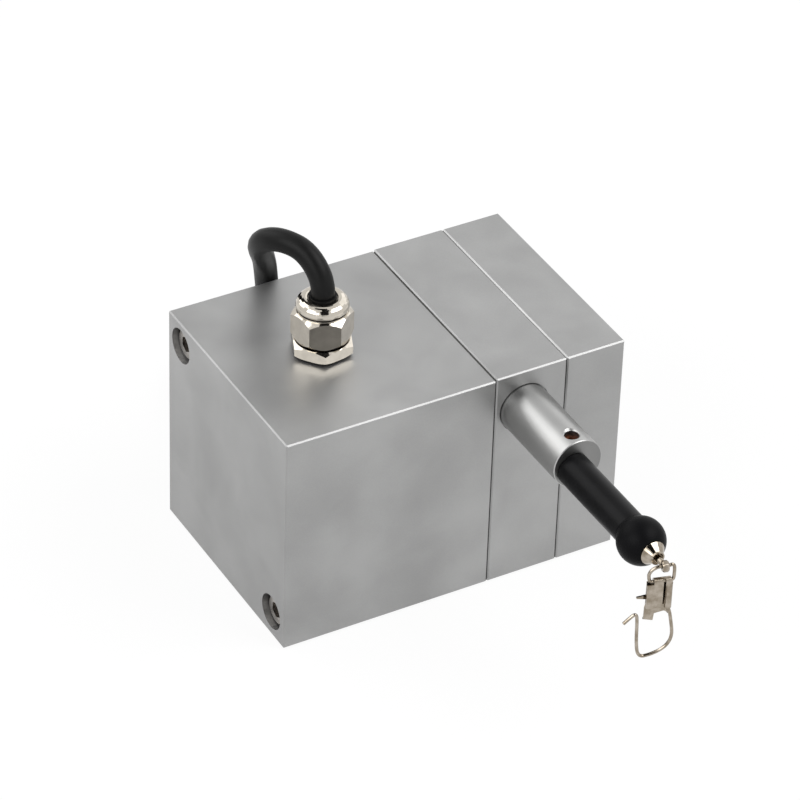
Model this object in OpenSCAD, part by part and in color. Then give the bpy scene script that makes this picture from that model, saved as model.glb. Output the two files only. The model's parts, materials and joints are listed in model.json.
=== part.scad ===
// Draw wire encoder, in millimetres.
// Three square cases stand in a row along X: encoder, wire drum, return spring.
// The wire leaves the drum's top through the outlet tube towards -Y. +Z is up.
// The origin is the middle of the face that the cases stand on.

/* [Cases] */
// Front to back depth of the cases
case_w = 65; // [65:0.5:68]
// Height of the drum and spring cases
case_h = 65.4; // [65.2:0.1:66]
// How far the encoder case stays below them
case_step = 0.4; // [0.2:0.1:1]
// Length of the encoder case
encoder_len = 60; // [60:0.1:62]
// Length of the drum case
drum_len = 20.6; // [20.6:0.1:21]
// Length of the spring case
spring_len = 17; // [17:0.1:18]
// Thickness of the flat seals between the cases
seal_t = 0.2; // [0.2:0.1:0.4]
// Bevel on the cases' outer edges
bevel = 0.35; // [0.2:0.05:0.5]

/* [Case screws] */
// Distance of the screw lines from the shaft's axis, along Y and Z
screw_at = 25.5; // [25:0.1:26]
// Shank diameter of the case screws
screw_d = 5; // [4:0.5:5]
// Diameter of their counterbores
counterbore_d = 9.9; // [9.5:0.1:10]
// Depth of their counterbores
counterbore_t = 6.5; // [6:0.5:7]

/* [Wire and drum] */
// Diameter of the draw wire
wire_d = 0.8; // [0.6:0.1:0.8]
// Radius of the wire's centre line on the drum
wind_r = 20.5; // [20:0.1:20.6]
// Distance between the drum's grooves
groove_pitch = 1.25; // [1.1:0.05:1.25]
// Number of turns on the drum
wire_turns = 8; // [6:1:8]
// Diameter of the drum's shaft
shaft_d = 8; // [8:1:8]

/* [Wire outlet] */
// Outer diameter of the outlet tube
tube_d = 13.9; // [13:0.1:14]
// How far the outlet tube stands out of the drum case
tube_len = 26.7; // [24:0.1:30]
// Diameter of the cross hole near the tube's mouth
cross_hole_d = 3.8; // [3:0.1:4]
// Diameter of the rubber sleeve on the wire
sleeve_d = 9; // [8:0.1:9]
// Distance from the outlet tube's mouth to the middle of the ball
ball_out = 32.9; // [28:0.1:38]
// Diameter of the ball
ball_d = 12.6; // [12:0.1:13.5]

/* [Cable gland] */
// Thread diameter of the gland
gland_thread = 12; // [12:1:12]
// Size across flats of the gland's body
gland_af = 15; // [14:0.1:16]
// Size across flats of the gland's nut
nut_af = 14.1; // [14:0.1:15]

/* [Snap hook] */
// Diameter of the snap's wire
snap_wire_d = 0.9; // [0.8:0.1:0.9]
// Thickness of the snap's folded plate
plate_t = 0.4; // [0.3:0.1:0.4]
// Turn of the hanging snap about the vertical
snap_turn = -16; // [-20:1:-10]

/* [Cable] */
// Outer diameter of the cable
cable_d = 6.2; // [5.8:0.1:6.2]

/* [Hidden] */
$fn = 64;

// Places along X
total_len = encoder_len + drum_len + spring_len + 2 * seal_t;
x_left = -total_len / 2;
x_drum = x_left + encoder_len + seal_t;
x_cover = x_drum + drum_len;
x_spring = x_cover + seal_t;
x_right = total_len / 2;
encoder_h = case_h - case_step;
shaft_z = case_h / 2;
y_front = -case_w / 2;

// Encoder case
cavity_r = 26;
end_wall = 6;
gland_x = x_left + 27.3;
base_hole_x = [x_left + 12, x_left + 50];
base_hole_y = [-18, 18];
base_hole_r = 1.65;
base_hole_t = 8;

// Drum case
chamber_r = 27;
web_t = 5;
boss_out = 2.6;
boss_r = 12;
cover_r = 30.9;
cover_t = 1.8;
ledge_hole_at = 29;

// Ball bearings of the drum shaft
bearing_od = 16;
bearing_w = 5;
x_bearing_left = x_drum - boss_out;
x_bearing_right = x_spring + 10.4;

// Drum
wire_x = x_drum + 6.95;
wire_z = shaft_z + wind_r;
drum_left = wire_x - 0.65;
drum_rim = groove_pitch * (wire_turns - 1) + 1.3;
flange_t = 0.8;
flange_r = 24;

// Return spring
arbor_x = x_spring + 1.4;
arbor_w = 8;
arbor_r = 7;
strip_t = 0.35;
spring_turns = 10;
eye_r = 25.6;
eye_angle = 152;

// Encoder and its bracket
x_plate = x_left + 35.5;
plate_w = 2;
standoff_at = 22.5;
encoder_r = 19;
flange_screw_at = 14;

// Wire outlet
tube_x = x_drum + 8.4;
tube_z = 54.1;
y_mouth = y_front - tube_len;
spigot_r = 5.6;
spigot_len = 8;
tube_sink = 0.5;
bush_r = 4.5;
bush_len = 12;
mouth_wall = 1.2;
y_ball = y_mouth - ball_out;
ball_flat = 5.2;
y_ferrule_tip = y_ball - 7.95;
eye_at = [wire_x, y_ball - 11.2, wire_z];

// Snap hook: places in its own plane, right and up from the swivel's eye
bar_down = -4.4;
gate_pivot = [-2.5, 0, -27.6];
snap_r = snap_wire_d / 2;
bow_points = [
    [1.4, -5.8], [1.4, -12.4], [1.65, -13.4], [2.1, -14.8], [2.55, -17.4], [2.95, -20],
    [3.1, -22], [2.7, -23.9], [1.7, -25.5], [0, -26.75], [-2.1, -27.52]
];
gate_points = [
    [-2.9, -27.68], [-4.3, -27.9], [-5.25, -27.1], [-5.7, -25.4], [-5.95, -22.4], [-6.05, -19],
    [-6.15, -15.6], [-6.5, -14.2], [-7.3, -14.4], [-9.6, -16.7]
];
link_points = [
    [1, 0.05], [1.7, 0.45], [2.35, 0], [2.5, -1.2], [2.5, -2.6], [2.45, -3.9], [2.15, -4.4], [1.8, -4.4],
    [0, -4.4], [-2.7, -4.4], [-3.3, -4.4], [-3.75, -4], [-3.95, -3], [-4, -2], [-3.4, -0.8], [-2, 0.05],
    [-1, 0.05]
];

// Gland
z_gland = encoder_h;
gland_washer_t = 0.5;
z_nut = z_gland + 4.2;
z_dome = z_nut + 5.9;
z_exit = z_gland + 16.9;
gland_turn = 8;

// Cable: free route from the gland over the back edge to the hank on the floor
cable_r = cable_d / 2;
cable_route = [
    [-21.7, 0, 81.9], [-21.7, 0, 83.6], [-21.8, 1.2, 86.4], [-22.3, 3.1, 88.8],
    [-23.1, 5.4, 90.7], [-24.2, 7.8, 91.9], [-25.6, 10.4, 92.3], [-27, 13.2, 92],
    [-28.1, 16, 90.9], [-28.6, 18.8, 89], [-28.3, 21.4, 86.4], [-27.2, 23.9, 83.4],
    [-25.6, 26.5, 80.3], [-23.7, 29.3, 77], [-21.7, 32.2, 73.2], [-19.8, 34.9, 68.6],
    [-18.3, 36.9, 62.8], [-17.3, 37.9, 56], [-17, 38, 48], [-17, 38, 38],
    [-16.8, 38, 28], [-16, 38, 20], [-13.6, 38, 13], [-9.8, 37.8, 7.4],
    [-5, 37.6, 4.1], [0, 37.6, 3.1], [3, 37.6, 3.1]
];
hank_x = [3, 49];
hank_y = 65.5;
hank_in = 15.5;
hank_out = 21.7;
hank_lead_in = 27.9;
hank_h = 2 * cable_d;
tail_end = [36, 58.5];
tie_x = 20;
tie_w = 3.6;
tie_t = 1.1;
lead_r = 0.6;
lead_len = 17;

// ---------- helpers ----------

function unit(v) = v / norm(v);

// Turns a shape that stands along Z so that it lies along X, at the shaft's height
module on_shaft(x) {
    translate([x, 0, shaft_z]) rotate([0, 90, 0]) children();
}

// Places a shape along X at a distance from the shaft's axis, at an angle in the YZ plane
module around_shaft(x, at, angle) {
    translate([x, at * cos(angle), shaft_z + at * sin(angle)]) rotate([0, 90, 0]) children();
}

// Turns a shape that stands along Z so that it runs towards -Y
module towards_front(x, y, z) {
    translate([x, y, z]) rotate([90, 0, 0]) children();
}

module bevelled_rect(a, b) {
    polygon([
        [bevel, 0], [a - bevel, 0], [a, bevel], [a, b - bevel],
        [a - bevel, b], [bevel, b], [0, b - bevel], [0, bevel]
    ]);
}

// A block with all its edges bevelled, from x, centred in Y, standing on Z = 0
module bevelled_block(x, length, height) {
    translate([x, -case_w / 2, 0]) intersection() {
        linear_extrude(height) bevelled_rect(length, case_w);
        translate([0, case_w, 0]) rotate([90, 0, 0])
            linear_extrude(case_w) bevelled_rect(length, height);
        rotate([90, 0, 90]) linear_extrude(length) bevelled_rect(case_w, height);
    }
}

// The two diagonal screw lines through the cases
module at_screw_lines(x) {
    translate([x, screw_at, shaft_z + screw_at]) rotate([0, 90, 0]) children();
    translate([x, -screw_at, shaft_z - screw_at]) rotate([0, 90, 0]) children();
}

// Socket-head screw along Z, head down to z = 0, shank upwards
module socket_screw(d, head_d, head_h, length, key) {
    difference() {
        union() {
            cylinder(h = 0.4, d1 = head_d - 0.8, d2 = head_d);
            translate([0, 0, 0.4]) cylinder(h = head_h - 0.4, d = head_d);
            cylinder(h = head_h + length, d = d);
        }
        translate([0, 0, -1]) cylinder(h = head_h * 0.5 + 1, d = key / cos(30), $fn = 6);
    }
}

// Cuts each corner of a list of points off in two, twice over, for a smooth bend
function cut(p, closed) = closed
    ? [for (i = [0 : len(p) - 1]) let (q = p[(i + 1) % len(p)])
        each [0.75 * p[i] + 0.25 * q, 0.25 * p[i] + 0.75 * q]]
    : concat(
        [p[0]],
        [for (i = [0 : len(p) - 2]) each [0.75 * p[i] + 0.25 * p[i + 1], 0.25 * p[i] + 0.75 * p[i + 1]]],
        [p[len(p) - 1]]
    );

// Round wire bent in the snap's plane
module bent_wire(list, closed = false) {
    flat = [for (p = list) [p[0], 0, p[1]]];
    tube_along(cut(cut(flat, closed), closed), snap_r, 10, [0, 1, 0], closed);
}

// The hanging snap's own plane, with the swivel's eye as its origin
module snap_frame() {
    translate(eye_at) rotate([0, 0, snap_turn]) children();
}

// ---------- cases ----------

module encoder_case() {
    color("silver") difference() {
        bevelled_block(x_left, encoder_len, encoder_h);
        on_shaft(x_left + end_wall) cylinder(h = encoder_len, r = cavity_r);
        at_screw_lines(x_left - 1) cylinder(h = counterbore_t + 1, d = counterbore_d);
        at_screw_lines(x_left) cylinder(h = encoder_len + 1, d = screw_d + 0.5);
        translate([gland_x, 0, encoder_h - 8]) cylinder(h = 9, d = gland_thread);
        for (x = base_hole_x, y = base_hole_y) {
            translate([x, y, -1]) cylinder(h = base_hole_t + 1, r = base_hole_r);
        }
    }
}

module drum_case() {
    color("silver") difference() {
        union() {
            bevelled_block(x_drum, drum_len, case_h);
            on_shaft(x_drum - boss_out) cylinder(h = boss_out + 1, r = boss_r);
        }
        on_shaft(x_drum + web_t) cylinder(h = drum_len, r = chamber_r);
        on_shaft(x_cover - cover_t) cylinder(h = cover_t + 1, r = cover_r);
        on_shaft(x_bearing_left - 1) cylinder(h = bearing_w + 1, d = bearing_od);
        on_shaft(x_bearing_left) cylinder(h = drum_len, r = 6);
        at_screw_lines(x_drum - 1) cylinder(h = drum_len + 2, d = screw_d);
        for (a = [90, 210, 330]) {
            around_shaft(x_drum - 1, standoff_at, a) cylinder(h = 5, r = 1.5);
        }
        for (a = [45 : 90 : 315]) {
            around_shaft(x_cover - cover_t - 5, ledge_hole_at, a) cylinder(h = 6, r = 1);
        }
        towards_front(tube_x, y_front + spigot_len, tube_z) cylinder(h = 9, r = spigot_r);
        towards_front(tube_x, y_front + tube_sink, tube_z) cylinder(h = 2, d = tube_d + 0.5);
        towards_front(wire_x, -10, wire_z) cylinder(h = 20, r = 2);
    }
}

module spring_case() {
    color("silver") difference() {
        bevelled_block(x_spring, spring_len, case_h);
        on_shaft(x_spring - 1) cylinder(h = 11.4, r = chamber_r);
        on_shaft(x_bearing_right - 1) cylinder(h = bearing_w + 1, d = bearing_od);
        at_screw_lines(x_right - counterbore_t) cylinder(h = counterbore_t + 1, d = counterbore_d);
        at_screw_lines(x_spring - 1) cylinder(h = spring_len, d = screw_d + 0.5);
        around_shaft(x_bearing_right - 1, eye_r, eye_angle - 90) cylinder(h = 3, r = 0.75);
    }
}

// Flat seal, set back a little from the cases' faces
module case_seal(x, height, hole_r) {
    inset = bevel;
    color("dimgray") difference() {
        translate([x, -case_w / 2 + inset, inset])
            cube([seal_t, case_w - 2 * inset, height - 2 * inset]);
        on_shaft(x - 1) cylinder(h = 3, r = hole_r);
        at_screw_lines(x - 1) cylinder(h = 3, d = screw_d + 0.5);
    }
}

module encoder_case_seal() {
    case_seal(x_drum - seal_t, encoder_h, cavity_r);
}

module spring_case_seal() {
    case_seal(x_cover, case_h, chamber_r);
}

// Screws from the encoder end, threaded into the drum case
module encoder_case_screws() {
    head_h = 5;
    color("gray") at_screw_lines(x_left + counterbore_t - head_h)
        socket_screw(screw_d, 8.5, head_h, encoder_len - counterbore_t + seal_t + 9, 4);
}

// Screws from the spring end, threaded into the drum case
module spring_case_screws() {
    head_h = 5;
    color("gray") at_screw_lines(x_right - counterbore_t + head_h) mirror([0, 0, 1])
        socket_screw(screw_d, 8.5, head_h, spring_len - counterbore_t + seal_t + 9, 4);
}

// ---------- wire outlet ----------

module outlet_tube() {
    color("gainsboro") difference() {
        union() {
            towards_front(tube_x, y_front + tube_sink, tube_z) rotate_extrude() polygon([
                [0, 0], [tube_d / 2, 0], [tube_d / 2, tube_len + tube_sink - 0.2],
                [tube_d / 2 - 0.2, tube_len + tube_sink], [0, tube_len + tube_sink]
            ]);
            towards_front(tube_x, y_front + spigot_len, tube_z)
                cylinder(h = spigot_len + 1, r = spigot_r);
        }
        towards_front(tube_x, y_front + spigot_len + 1, tube_z)
            cylinder(h = spigot_len + 1 + tube_len - mouth_wall, r = bush_r);
        towards_front(wire_x, y_mouth + 5, wire_z) cylinder(h = 10, r = 1.6);
        translate([tube_x, y_mouth + 3.6, tube_z]) cylinder(h = 10, d = cross_hole_d);
        translate([tube_x, y_mouth + 3.6, tube_z + tube_d / 2 - 0.5])
            cylinder(h = 1, d1 = cross_hole_d, d2 = cross_hole_d + 2);
    }
}

// Bush that guides the wire, bored on the wire's line
module guide_bush() {
    y_bush = y_mouth + mouth_wall + bush_len;
    color("peru") difference() {
        towards_front(tube_x, y_bush, tube_z) cylinder(h = bush_len, r = bush_r);
        towards_front(wire_x, y_bush + 1, wire_z) cylinder(h = bush_len + 2, r = 0.7);
        towards_front(wire_x, y_bush + 0.1, wire_z) cylinder(h = 1.2, r1 = 1.8, r2 = 0.7);
        translate([tube_x, y_mouth + 3.6, tube_z + 1.6]) cylinder(h = 10, d = 2.4);
    }
}

// ---------- drum ----------

// Outer ring of a sealed ball bearing, with its two shields
module bearing_outer() {
    difference() {
        cylinder(h = bearing_w, d = bearing_od);
        translate([0, 0, 0.4]) cylinder(h = bearing_w - 0.8, r = 6.9);
        translate([0, 0, -1]) cylinder(h = bearing_w + 2, r = 5.4);
    }
}

module bearing_outer_rings() {
    color("lightsteelblue") {
        on_shaft(x_bearing_left) bearing_outer();
        on_shaft(x_bearing_right) bearing_outer();
    }
}

module bearing_inner() {
    difference() {
        cylinder(h = bearing_w, r = 5.3);
        translate([0, 0, -1]) cylinder(h = bearing_w + 2, d = shaft_d);
    }
}

module bearing_inner_rings() {
    color("lightsteelblue") {
        on_shaft(x_bearing_left) bearing_inner();
        on_shaft(x_bearing_right) bearing_inner();
    }
}

module drum_shaft() {
    color("slategray") {
        on_shaft(x_bearing_left) cylinder(h = x_bearing_right + bearing_w - x_bearing_left, d = shaft_d);
        on_shaft(x_bearing_left - 10.5) cylinder(h = 11, r = 3);
    }
}

// Grooved rim between two flanges, on a thin web with six round holes
module wire_drum() {
    web_x = drum_rim / 2;
    color("lightgray") on_shaft(drum_left) difference() {
        rotate_extrude() difference() {
            polygon([
                [shaft_d / 2, -0.4], [8, -0.4], [8, web_x - 1.5], [17, web_x - 1.5], [17, -flange_t],
                [flange_r, -flange_t], [flange_r, 0], [wind_r - 0.1, 0], [wind_r - 0.1, drum_rim],
                [flange_r, drum_rim], [flange_r, drum_rim + flange_t], [17, drum_rim + flange_t],
                [17, web_x + 1.5], [8, web_x + 1.5], [8, drum_rim + 1], [shaft_d / 2, drum_rim + 1]
            ]);
            for (i = [0 : wire_turns - 1]) {
                translate([wind_r, 0.65 + i * groove_pitch]) circle(r = wire_d / 2 + 0.05, $fn = 24);
            }
        }
        for (a = [0 : 60 : 300]) {
            rotate(a) translate([12.5, 0, 0]) cylinder(h = drum_rim, r = 3);
        }
    }
}

// One ring per groove; the first stops where the wire leaves it
module wound_wire() {
    gap = 25;
    color("whitesmoke") on_shaft(wire_x) {
        rotate([0, 0, 180 + gap]) rotate_extrude(angle = 360 - gap)
            translate([wind_r, 0]) circle(d = wire_d, $fn = 16);
        for (i = [1 : wire_turns - 1]) {
            translate([0, 0, i * groove_pitch]) rotate_extrude()
                translate([wind_r, 0]) circle(d = wire_d, $fn = 16);
        }
    }
}

module spring_cover() {
    color("darkgray") difference() {
        on_shaft(x_cover - cover_t) cylinder(h = cover_t, r = cover_r);
        on_shaft(x_cover - cover_t - 1) cylinder(h = 4, r = 9);
        for (a = [45 : 90 : 315]) {
            around_shaft(x_cover - cover_t - 1, ledge_hole_at, a) cylinder(h = 4, r = 1.1);
            around_shaft(x_cover - 1.1, ledge_hole_at, a) cylinder(h = 2, r = 1.8);
        }
    }
}

module cover_screws() {
    color("gray") for (a = [45 : 90 : 315]) {
        around_shaft(x_cover, ledge_hole_at, a) mirror([0, 0, 1]) union() {
            cylinder(h = 1.1, r = 1.75);
            cylinder(h = cover_t + 4, r = 1);
        }
    }
}

// ---------- return spring ----------

// Flat spiral strip from the arbor's slot out to the anchor pin
module power_spring() {
    steps = 20;
    r_in = arbor_r + 0.6;
    r_out = chamber_r - 2;
    count = spring_turns * steps;
    end_angle = eye_angle - 2;
    function at(i, side) = let (
        a = end_angle - 360 * (count - i) / steps,
        r = r_in + (r_out - r_in) * i / count + side * strip_t / 2
    ) [r * cos(a), r * sin(a)];
    color("steelblue") on_shaft(arbor_x) {
        linear_extrude(arbor_w) difference() {
            union() {
                polygon(concat(
                    [for (i = [0 : count]) at(i, 1)],
                    [for (i = [count : -1 : 0]) at(i, -1)]
                ));
                rotate(end_angle) translate([arbor_r - 1.6, -strip_t / 2])
                    square([r_in - arbor_r + 1.6, strip_t]);
                rotate(eye_angle) translate([eye_r, 0]) circle(r = 1.15, $fn = 32);
            }
            rotate(eye_angle) translate([eye_r, 0]) circle(r = 0.8, $fn = 32);
        }
    }
}

module spring_arbor() {
    color("slategray") on_shaft(arbor_x) difference() {
        cylinder(h = arbor_w, r = arbor_r);
        translate([0, 0, -1]) cylinder(h = arbor_w + 2, d = shaft_d);
        rotate(eye_angle - 2) translate([arbor_r - 2, -0.4, -1]) cube([3, 0.8, arbor_w + 2]);
    }
}

module spring_anchor() {
    color("gray") around_shaft(arbor_x, eye_r, eye_angle - 90) cylinder(h = arbor_w + 3, r = 0.75);
}

// ---------- encoder ----------

// Beam coupling: a sleeve with staggered slots that let it bend
module shaft_coupling() {
    length = 16;
    color("gainsboro") on_shaft(x_plate + 3.5) difference() {
        cylinder(h = length, r = 7.5);
        translate([0, 0, -1]) cylinder(h = length + 2, r = 3);
        for (i = [0 : 2]) {
            rotate(90 * i) translate([-2.2, -8, 5.7 + 2 * i]) cube([10, 16, 0.6]);
        }
        for (z = [2.3, length - 2.3]) {
            translate([5, -5.2, z]) rotate([-90, 0, 0]) cylinder(h = 10.4, r = 1);
        }
        translate([2.5, -0.4, -1]) cube([6, 0.8, 5.6]);
        translate([2.5, -0.4, length - 4.6]) cube([6, 0.8, 5.6]);
    }
}

module coupling_screws() {
    color("dimgray") on_shaft(x_plate + 3.5) for (z = [2.3, 13.7]) {
        translate([5, -5.2, z]) rotate([-90, 0, 0]) cylinder(h = 10.4, r = 1);
    }
}

module encoder_shaft() {
    color("slategray") {
        on_shaft(x_plate - 13.5) cylinder(h = 24, r = 3);
        on_shaft(x_plate - 13.5) cylinder(h = 2, r = 6);
    }
}

module code_disc() {
    color("lightcyan") on_shaft(x_plate - 11.5) difference() {
        cylinder(h = 0.8, r = 15);
        translate([0, 0, -1]) cylinder(h = 3, r = 3);
        for (a = [0 : 12 : 348]) {
            rotate(a) translate([12, -0.5, -1]) cube([2, 1, 3]);
        }
    }
}

// The encoder's own two small bearings, outer rings with shields
module encoder_bearings() {
    color("lightsteelblue") for (x = [x_plate - 9.8, x_plate - 3.8]) {
        on_shaft(x) difference() {
            cylinder(h = 5, r = 6.5);
            translate([0, 0, -1]) cylinder(h = 7, r = 3.05);
        }
    }
}

module encoder_flange() {
    color("darkgray") difference() {
        union() {
            on_shaft(x_plate - 4) cylinder(h = 4, r = encoder_r);
            on_shaft(x_plate - 1) cylinder(h = plate_w + 1.5, r = 10);
            on_shaft(x_plate - 9.8) cylinder(h = 6.8, r = 9);
        }
        on_shaft(x_plate - 11) cylinder(h = 12.2, r = 6.5);
        on_shaft(x_plate) cylinder(h = 5, r = 5);
        for (a = [30, 150, 270]) {
            around_shaft(x_plate - 3.5, flange_screw_at, a) cylinder(h = 5, r = 1.5);
        }
    }
}

module encoder_cap() {
    color("dimgray") difference() {
        on_shaft(x_plate - 26) cylinder(h = 22, r = encoder_r);
        on_shaft(x_plate - 24.5) cylinder(h = 22, r = encoder_r - 1.5);
        translate([gland_x, 0, shaft_z + 10]) cylinder(h = 20, r = cable_r);
    }
}

// Circuit board with its read head over the disc's rim and a row of chips
module encoder_board() {
    color("darkgreen") {
        on_shaft(x_plate - 19) difference() {
            cylinder(h = 1.6, r = encoder_r - 1.6);
            translate([0, 0, -1]) cylinder(h = 4, r = 5);
        }
        translate([x_plate - 17.5, -4, shaft_z - 15]) cube([5.4, 8, 5]);
        for (a = [30, 90, 150]) {
            on_shaft(x_plate - 20.2) rotate(a) translate([8, -2.5, 0]) cube([5, 5, 1.3]);
        }
    }
}

// Plate with three lobes that carries the encoder
module bracket_plate() {
    color("silver") on_shaft(x_plate) difference() {
        cylinder(h = plate_w, r = 25.4);
        translate([0, 0, -1]) cylinder(h = 5, r = 10);
        for (a = [0, 120, 240]) {
            rotate(a) translate([34, 0, -1]) cylinder(h = 5, r = 17);
            rotate(a) translate([-standoff_at, 0, -1]) cylinder(h = 5, r = 1.6);
            rotate(a + 60) translate([-flange_screw_at, 0, -1]) cylinder(h = 5, r = 1.6);
        }
    }
}

module standoffs() {
    length = x_drum - x_plate - plate_w;
    color("goldenrod") for (a = [90, 210, 330]) {
        around_shaft(x_plate + plate_w, standoff_at, a) difference() {
            union() {
                cylinder(h = length, d = 5 / cos(30), $fn = 6);
                cylinder(h = length + 4, r = 1.5);
            }
            translate([0, 0, -1]) cylinder(h = 7, r = 1.5);
        }
    }
}

module bracket_screws() {
    color("gray") for (a = [90, 210, 330]) {
        around_shaft(x_plate - 2, standoff_at, a) socket_screw(3, 5, 2, 7, 2);
    }
}

module flange_screws() {
    color("gray") for (a = [30, 150, 270]) {
        around_shaft(x_plate + plate_w + 2, flange_screw_at, a) mirror([0, 0, 1])
            socket_screw(3, 5, 2, plate_w + 3.4, 2);
    }
}

// The cable's end inside, from the gland's seal down into the encoder's cap
module inner_cable() {
    color("black") translate([gland_x, 0, shaft_z + encoder_r - 2])
        cylinder(h = z_exit - shaft_z - encoder_r + 2, r = cable_r);
}

// ---------- cable gland ----------

module gland_washer() {
    color("black") translate([gland_x, 0, z_gland]) difference() {
        cylinder(h = gland_washer_t, r = 7.1);
        translate([0, 0, -1]) cylinder(h = 3, d = gland_thread);
    }
}

// Hexagon with both ends turned down to a 30 degree bevel
module turned_hexagon(af, height) {
    corner = af / cos(30);
    intersection() {
        cylinder(h = height, d = corner, $fn = 6);
        rotate_extrude() polygon([
            [0, 0], [af / 2 - 0.2, 0], [corner / 2 + 0.1, 0.75],
            [corner / 2 + 0.1, height - 0.75], [af / 2 - 0.2, height], [0, height]
        ]);
    }
}

module gland_body() {
    z_hex = z_gland + gland_washer_t;
    color("tan") translate([gland_x, 0, 0]) difference() {
        union() {
            translate([0, 0, z_gland - 6.8]) cylinder(h = 8, d = gland_thread);
            translate([0, 0, z_hex]) rotate(gland_turn) turned_hexagon(gland_af, z_nut - 0.3 - z_hex);
            translate([0, 0, z_hex + 1]) cylinder(h = z_dome - 1 - z_hex, r = 5.6);
        }
        translate([0, 0, z_gland - 8]) cylinder(h = 40, r = cable_r + 0.1);
    }
}

// Nut: hexagon turned down at both ends, a round neck, a groove and a rounded dome above
module gland_nut() {
    dome_r = 6.9;
    round_r = 2.5;
    z_round = z_exit - z_nut - 3.1;
    color("tan") translate([gland_x, 0, z_nut]) difference() {
        union() {
            rotate(30 + gland_turn) intersection() {
                cylinder(h = 8.2, d = nut_af / cos(30), $fn = 6);
                rotate_extrude() polygon([
                    [0, 0], [nut_af / 2 - 0.1, 0], [8.4, 1.9], [8.4, 6.65], [6.75, 8.2], [0, 8.2]
                ]);
            }
            rotate_extrude() polygon(concat(
                [[0, 5], [6.6, 5], [6.6, z_round - 1], [6.35, z_round - 0.9], [6.35, z_round - 0.6],
                    [6.8, z_round - 0.35]],
                [for (a = [0 : 10 : 90])
                    [dome_r - round_r + round_r * cos(a), z_round + round_r * sin(a)]],
                [[4, round_r + z_round - 0.1], [3.75, round_r + z_round - 0.4], [0, round_r + z_round - 0.4]]
            ));
        }
        translate([0, 0, -1]) cylinder(h = z_dome - z_nut + 1, r = 5.6);
        cylinder(h = 20, r = 3.7);
    }
}

module gland_seal() {
    color("black") translate([gland_x, 0, z_dome]) difference() {
        cylinder(h = z_exit - z_dome, r1 = 3.7, r2 = 3.6);
        translate([0, 0, -1]) cylinder(h = 20, r = cable_r);
    }
}

// ---------- wire end ----------

// The straight wire, from the drum's top to its clamped end in the ferrule
module draw_wire() {
    color("whitesmoke") towards_front(wire_x, -0.3, wire_z)
        cylinder(h = -0.3 - (y_ball - 4), d = wire_d, $fn = 24);
}

module wire_sleeve() {
    length = ball_out - 2.65;
    r = sleeve_d / 2;
    color("black") towards_front(wire_x, y_mouth - 0.05, wire_z) rotate_extrude() polygon([
        [0.6, 0], [r - 0.5, 0], [r - 0.15, 0.15], [r, 0.5], [r, length], [0.6, length]
    ]);
}

// Ball with a rounded neck to the sleeve and a flat for the ferrule
module ball_stop() {
    r = ball_d / 2;
    neck = sleeve_d / 2 + 1;
    y_neck = sqrt((r + 1) * (r + 1) - neck * neck);
    neck_angle = acos(neck / (r + 1));
    color("black") towards_front(wire_x, y_ball, wire_z) difference() {
        rotate_extrude() polygon(concat(
            [[0, -y_neck]],
            [for (k = [0 : 4]) let (a = 180 - neck_angle * k / 4)
                [neck + 0.95 * cos(a), -y_neck + 0.95 * sin(a)]],
            [for (k = [1 : 17]) let (a = -neck_angle + (neck_angle + asin(ball_flat / r)) * k / 17)
                [r * cos(a), r * sin(a)]],
            [[0, ball_flat]]
        ));
        translate([0, 0, -10]) cylinder(h = 10 - 2.6, d = sleeve_d);
        translate([0, 0, -3]) cylinder(h = 12, r = 1.5);
    }
}

// Cone that clamps the wire and holds the swivel's head
module wire_ferrule() {
    color("tan") towards_front(wire_x, y_ball, wire_z) difference() {
        rotate_extrude() polygon([
            [0, -2.6], [1.5, -2.6], [1.5, ball_flat], [3.35, ball_flat], [3.35, ball_flat + 0.25],
            [1.85, 7.45], [1.85, 7.95], [0, 7.95]
        ]);
        translate([0, 0, -3]) cylinder(h = 7, d = wire_d);
        translate([0, 0, 5.45]) cylinder(h = 1.1, r = 1.4);
        translate([0, 0, 6]) cylinder(h = 3, r = 0.95);
        translate([0, 0, 7.15]) cylinder(h = 2, r = 1.5);
    }
}

// Pin with a head inside the ferrule and a thick eye outside
module swivel_pin() {
    eye = 1.5;
    wide = 1.7;
    color("tan") difference() {
        union() {
            towards_front(wire_x, y_ball, wire_z) {
                translate([0, 0, 5.55]) cylinder(h = 0.9, r = 1.3);
                translate([0, 0, 6]) cylinder(h = 4.4, r = 0.88);
            }
            snap_frame() rotate([0, 90, 0]) translate([0, 0, -wide / 2]) rotate_extrude() polygon([
                [0, 0], [eye - 0.3, 0], [eye, 0.35], [eye, wide - 0.35], [eye - 0.3, wide], [0, wide]
            ]);
        }
        snap_frame() rotate([0, 90, 0]) translate([0, 0, -3]) cylinder(h = 6, r = 0.67);
    }
}

module wire_link() {
    color("tan") snap_frame() bent_wire(link_points, true);
}

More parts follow.
